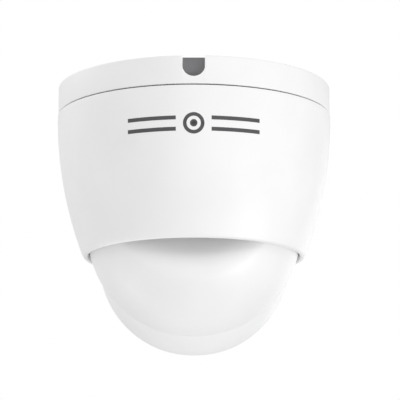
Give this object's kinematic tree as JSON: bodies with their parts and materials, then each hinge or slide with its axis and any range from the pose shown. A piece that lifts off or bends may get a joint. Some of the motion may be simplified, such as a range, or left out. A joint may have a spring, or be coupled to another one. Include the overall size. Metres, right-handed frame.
{
  "type": "ball turret camera",
  "caption": "Small white marine camera: a ball that pans and tilts, held in a tapered round housing that twists onto a flat mounting base.",
  "frame": {"origin": "middle of the mounting face, which is the top of the base", "axes": "+Z out of the mounting face, towards the ceiling it is fastened to; +Y the way the lens points at rest; the cable notch is at -Y"},
  "size_m": [0.096, 0.096, 0.0918],
  "materials": {
    "shell_white": "satin moulded plastic",
    "grey_rubber": "matte",
    "black_rubber": "matte",
    "black_plastic": "satin",
    "steel": "brushed",
    "aluminium": "satin",
    "bearing_polymer": "satin",
    "window_glass": "polished",
    "circuit_board": "satin",
    "chip": "matte",
    "brass": "turned"
  },
  "bodies": {
    "base": {"mounting_base": "shell_white", "base_gasket": "black_rubber", "cable_grommet": "black_rubber", "cable_plug": "grey_rubber", "housing_seal": "black_rubber"},
    "housing": {"housing_shell": "shell_white", "lock_screw": "steel", "friction_ring": "bearing_polymer", "wave_spring": "steel", "retainer_ring": "aluminium"},
    "gimbal": {"gimbal_ring": "bearing_polymer", "pivot_pin_left": "steel", "pivot_pin_right": "steel"},
    "ball": {"ball_rear_shell": "shell_white", "ball_front_shell": "shell_white", "ball_shell_seal": "black_rubber", "cable_seal": "black_rubber", "window_gasket": "black_rubber", "window_bezel": "black_plastic", "lens_barrel": "black_plastic", "lens_holder": "black_plastic", "vent_plug": "black_plastic", "shell_screw_1": "steel", "shell_screw_2": "steel", "shell_screw_3": "steel", "lens_lock_ring": "aluminium", "heat_spreader": "aluminium", "pivot_bush_left": "bearing_polymer", "pivot_bush_right": "bearing_polymer", "board_connector": "bearing_polymer", "window_glass": "window_glass", "lens_front_element": "window_glass", "led_board": "circuit_board", "sensor_board": "circuit_board", "processor_board": "circuit_board", "image_sensor": "chip", "light_sensor": "chip", "processor_chip": "chip", "memory_chip": "chip", "infrared_led_1": "chip", "infrared_led_2": "chip", "infrared_led_3": "chip", "infrared_led_4": "chip", "cable_gland_body": "brass", "cable_gland_nut": "brass", "gland_lock_nut": "brass", "front_post_1": "brass", "front_post_2": "brass", "front_post_3": "brass", "front_post_4": "brass", "rear_post_1": "brass", "rear_post_2": "brass", "rear_post_3": "brass", "rear_post_4": "brass"}
  },
  "joints": [
    {"name": "housing_twist", "type": "hinge", "parent": "base", "child": "housing", "pos_m": [0, 0, -0.013], "axis": [0, 0, 1], "range_deg": [0, 26]},
    {"name": "pan", "type": "hinge", "parent": "housing", "child": "gimbal", "pos_m": [0, 0, -0.0503], "axis": [0, 0, 1], "range_deg": [-175, 175]},
    {"name": "tilt", "type": "hinge", "parent": "gimbal", "child": "ball", "pos_m": [0, 0, -0.0503], "axis": [1, 0, 0], "range_deg": [-50, 10]}
  ]
}
